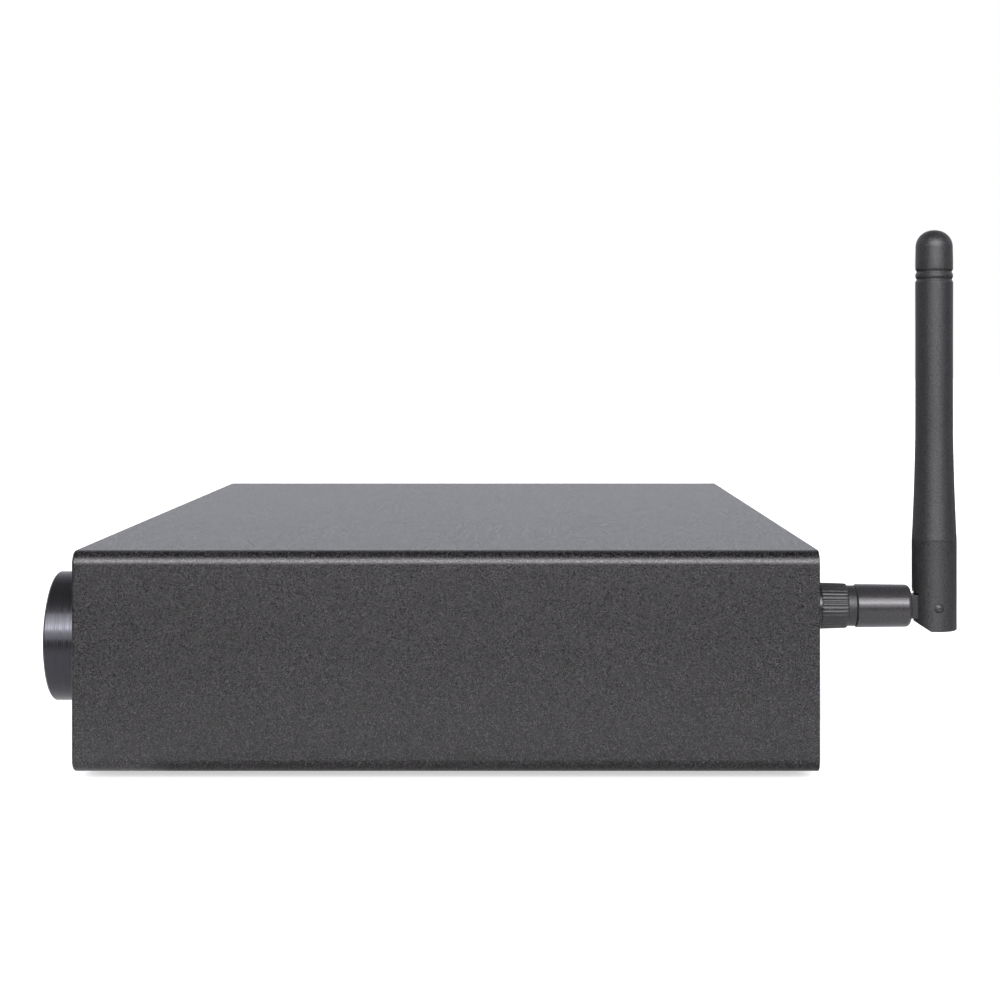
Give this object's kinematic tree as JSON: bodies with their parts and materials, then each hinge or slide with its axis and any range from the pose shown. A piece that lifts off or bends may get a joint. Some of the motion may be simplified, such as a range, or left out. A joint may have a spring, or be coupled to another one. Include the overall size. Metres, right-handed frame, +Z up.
{
  "type": "bluetooth audio receiver",
  "caption": "Low charcoal metal case with a turned volume knob, a smoked display window, rear audio sockets and a hinged screw-on antenna.",
  "frame": {"origin": "under the middle of the whole object, on the plane the feet rest on", "axes": "+Z up; the front panel and knob face -Y; the antenna stands behind the case at +Y; +X is to the right of someone facing the front"},
  "size_m": [0.2116, 0.2004, 0.1152],
  "materials": {
    "case_grey": "charcoal powder coat with a fine grain",
    "panel_black": "fine-brushed black anodised",
    "knob_black": "black anodised, turned",
    "antenna_plastic": "fine-textured black",
    "window_smoke": "smoked, clear gloss",
    "rubber": "matt black",
    "steel": "plain",
    "black_steel": "black",
    "gold": "gold plated",
    "black_plastic": "satin black",
    "white_plastic": "satin white",
    "red_plastic": "satin red",
    "board": "green solder mask",
    "copper_cable": "grey jacket",
    "bare_aluminium": "plain"
  },
  "bodies": {
    "case": {"case_sleeve": "case_grey", "front_panel": "panel_black", "front_carrier": "black_steel", "rear_panel": "panel_black", "carrier_screw_1": "steel", "carrier_screw_2": "steel", "carrier_screw_3": "steel", "carrier_screw_4": "steel", "rear_screw_1": "black_steel", "rear_screw_2": "black_steel", "rear_screw_3": "black_steel", "rear_screw_4": "black_steel", "foot_front_left": "rubber", "foot_front_right": "rubber", "foot_rear_left": "rubber", "foot_rear_right": "rubber", "encoder_body": "steel", "encoder_nut": "steel", "standby_switch": "black_plastic", "source_switch": "black_plastic", "display_window": "window_smoke", "display_module": "black_plastic", "front_board": "board", "front_ribbon": "white_plastic", "main_board": "board", "bluetooth_module": "steel", "filter_capacitor_1": "black_plastic", "filter_capacitor_2": "black_plastic", "heat_sink": "bare_aluminium", "line_out_housing": "black_plastic", "line_out_right_shell": "gold", "line_out_right_insert": "red_plastic", "line_out_left_shell": "gold", "line_out_left_insert": "white_plastic", "coax_in_housing": "black_plastic", "coax_in_shell": "gold", "coax_in_insert": "black_plastic", "optical_housing": "black_plastic", "dc_jack_body": "black_plastic", "dc_jack_pin": "steel", "power_switch_frame": "black_plastic", "antenna_jack": "gold", "jack_washer": "steel", "jack_nut": "gold", "antenna_coax": "copper_cable"},
    "volume": {"volume_knob": "knob_black", "knob_set_screw": "black_steel", "encoder_shaft": "steel"},
    "standby": {"standby_button": "knob_black"},
    "source": {"source_button": "knob_black"},
    "rocker": {"power_rocker": "black_plastic"},
    "shutter": {"optical_shutter": "black_plastic"},
    "grip": {"antenna_grip": "antenna_plastic", "antenna_coupling": "black_steel"},
    "swivel": {"antenna_barrel": "antenna_plastic", "antenna_ferrule": "gold"},
    "mast": {"antenna_fork": "antenna_plastic", "antenna_hinge_pin": "antenna_plastic", "antenna_whip": "antenna_plastic", "antenna_radiator": "gold"}
  },
  "joints": [
    {"name": "volume_turn", "type": "hinge", "parent": "case", "child": "volume", "pos_m": [0.0682, -0.08829, 0.0247], "axis": [0, 1, 0], "continuous": true},
    {"name": "standby_press", "type": "slide", "parent": "case", "child": "standby", "axis": [0, 1, 0], "range_m": [0, 0.0005], "stiffness_N_per_m": 200, "springref_m": -0.001},
    {"name": "source_press", "type": "slide", "parent": "case", "child": "source", "axis": [0, 1, 0], "range_m": [0, 0.0005], "stiffness_N_per_m": 200, "springref_m": -0.001},
    {"name": "power_rock", "type": "hinge", "parent": "case", "child": "rocker", "pos_m": [-0.086, 0.06287, 0.0247], "axis": [-1, 0, 0], "range_deg": [0, 14]},
    {"name": "shutter_swing", "type": "hinge", "parent": "case", "child": "shutter", "pos_m": [0.019, 0.06387, 0.0237], "axis": [-1, 0, 0], "range_deg": [0, 80], "stiffness_Nm_per_rad": 0.0002, "springref_deg": -28.65},
    {"name": "antenna_grip_turn", "type": "hinge", "parent": "case", "child": "grip", "pos_m": [0.072, 0.07457, 0.03185], "axis": [0, 1, 0], "continuous": true},
    {"name": "antenna_swivel", "type": "hinge", "parent": "case", "child": "swivel", "pos_m": [0.072, 0.08357, 0.03185], "axis": [0, 1, 0], "continuous": true},
    {"name": "antenna_tilt", "type": "hinge", "parent": "swivel", "child": "mast", "pos_m": [0.072, 0.09527, 0.03185], "axis": [-1, 0, 0], "range_deg": [0, 90]}
  ]
}
